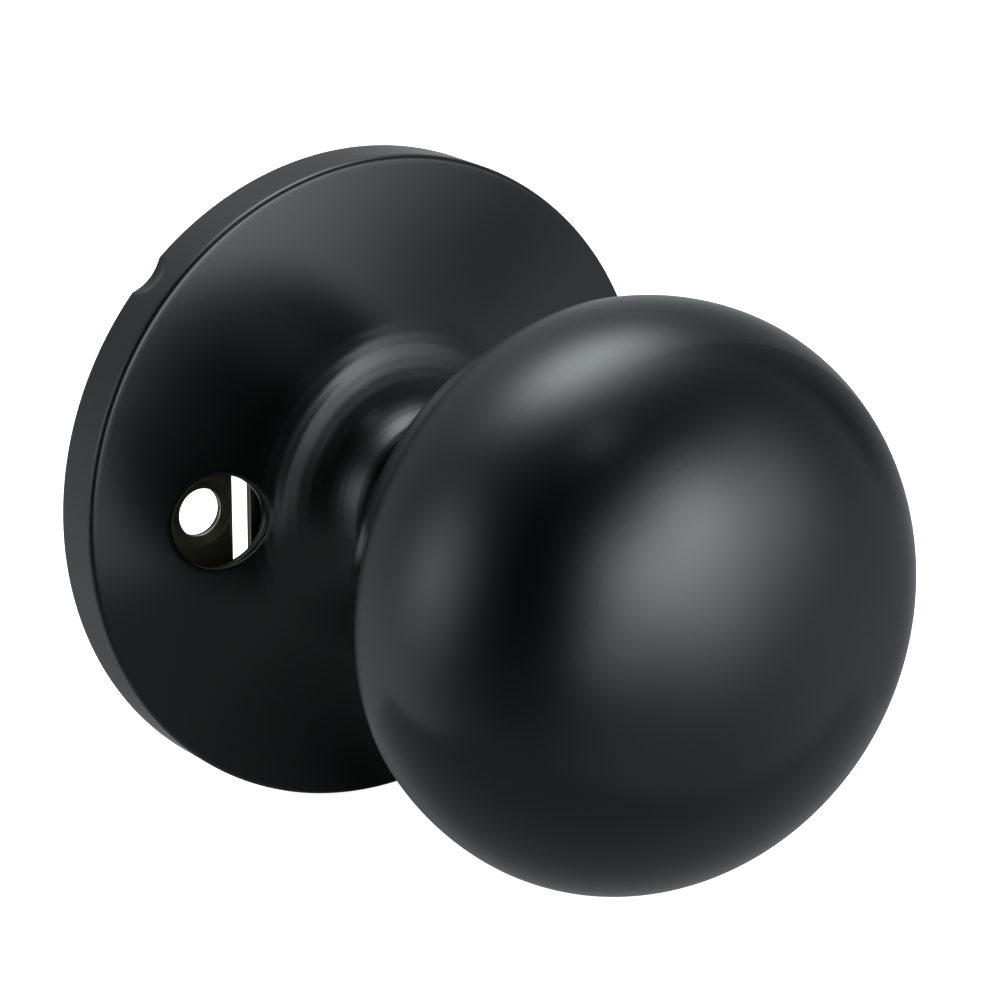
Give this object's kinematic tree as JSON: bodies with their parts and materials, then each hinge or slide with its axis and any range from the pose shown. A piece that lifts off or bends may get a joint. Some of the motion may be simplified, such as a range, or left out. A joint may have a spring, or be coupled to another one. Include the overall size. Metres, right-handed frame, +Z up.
{
  "type": "door knob",
  "caption": "Round ball door knob on a flared round rose, sprung to centre, with a pair of open screw holes and a square spindle socket behind.",
  "frame": {"origin": "centre of the rose's rear rim, on the door face and on the knob's axis", "axes": "+Z up; +Y into the door; the knob points along -Y; the two screw holes lie in line along X"},
  "size_m": [0.066, 0.0704, 0.066],
  "materials": {
    "satin_black": "satin black paint with a faint fine grain",
    "dark_bronze_plate": "dark bronze plated steel sheet with paler cut edges",
    "zinc_plated_steel": "zinc plated steel",
    "spring_steel": "oiled spring steel",
    "cast_zinc": "bare zinc casting",
    "dark_nylon": "moulded nylon"
  },
  "bodies": {
    "rose": {"rose_cover": "satin_black", "mounting_plate": "dark_bronze_plate", "plate_bushing": "dark_nylon", "spring_housing": "zinc_plated_steel", "housing_rivets": "zinc_plated_steel", "stop_pins": "zinc_plated_steel", "return_spring": "spring_steel", "collar_bushing": "dark_nylon"},
    "knob": {"shank_tube": "zinc_plated_steel", "spring_driver": "zinc_plated_steel", "retaining_ring": "spring_steel", "backing_washer": "zinc_plated_steel", "cone_washer": "spring_steel", "thrust_washer": "dark_nylon", "spindle_socket": "cast_zinc", "socket_pins": "spring_steel", "core_cross_pin": "spring_steel", "knob_core": "cast_zinc", "knob_rear_cup": "satin_black", "knob_front_shell": "satin_black"}
  },
  "joints": [
    {"name": "knob_turn", "type": "hinge", "parent": "rose", "child": "knob", "pos_m": [0, 0, 0], "axis": [0, -1, 0], "range_deg": [-60, 60], "stiffness_Nm_per_rad": 0.25, "deforming": ["return_spring"]}
  ]
}
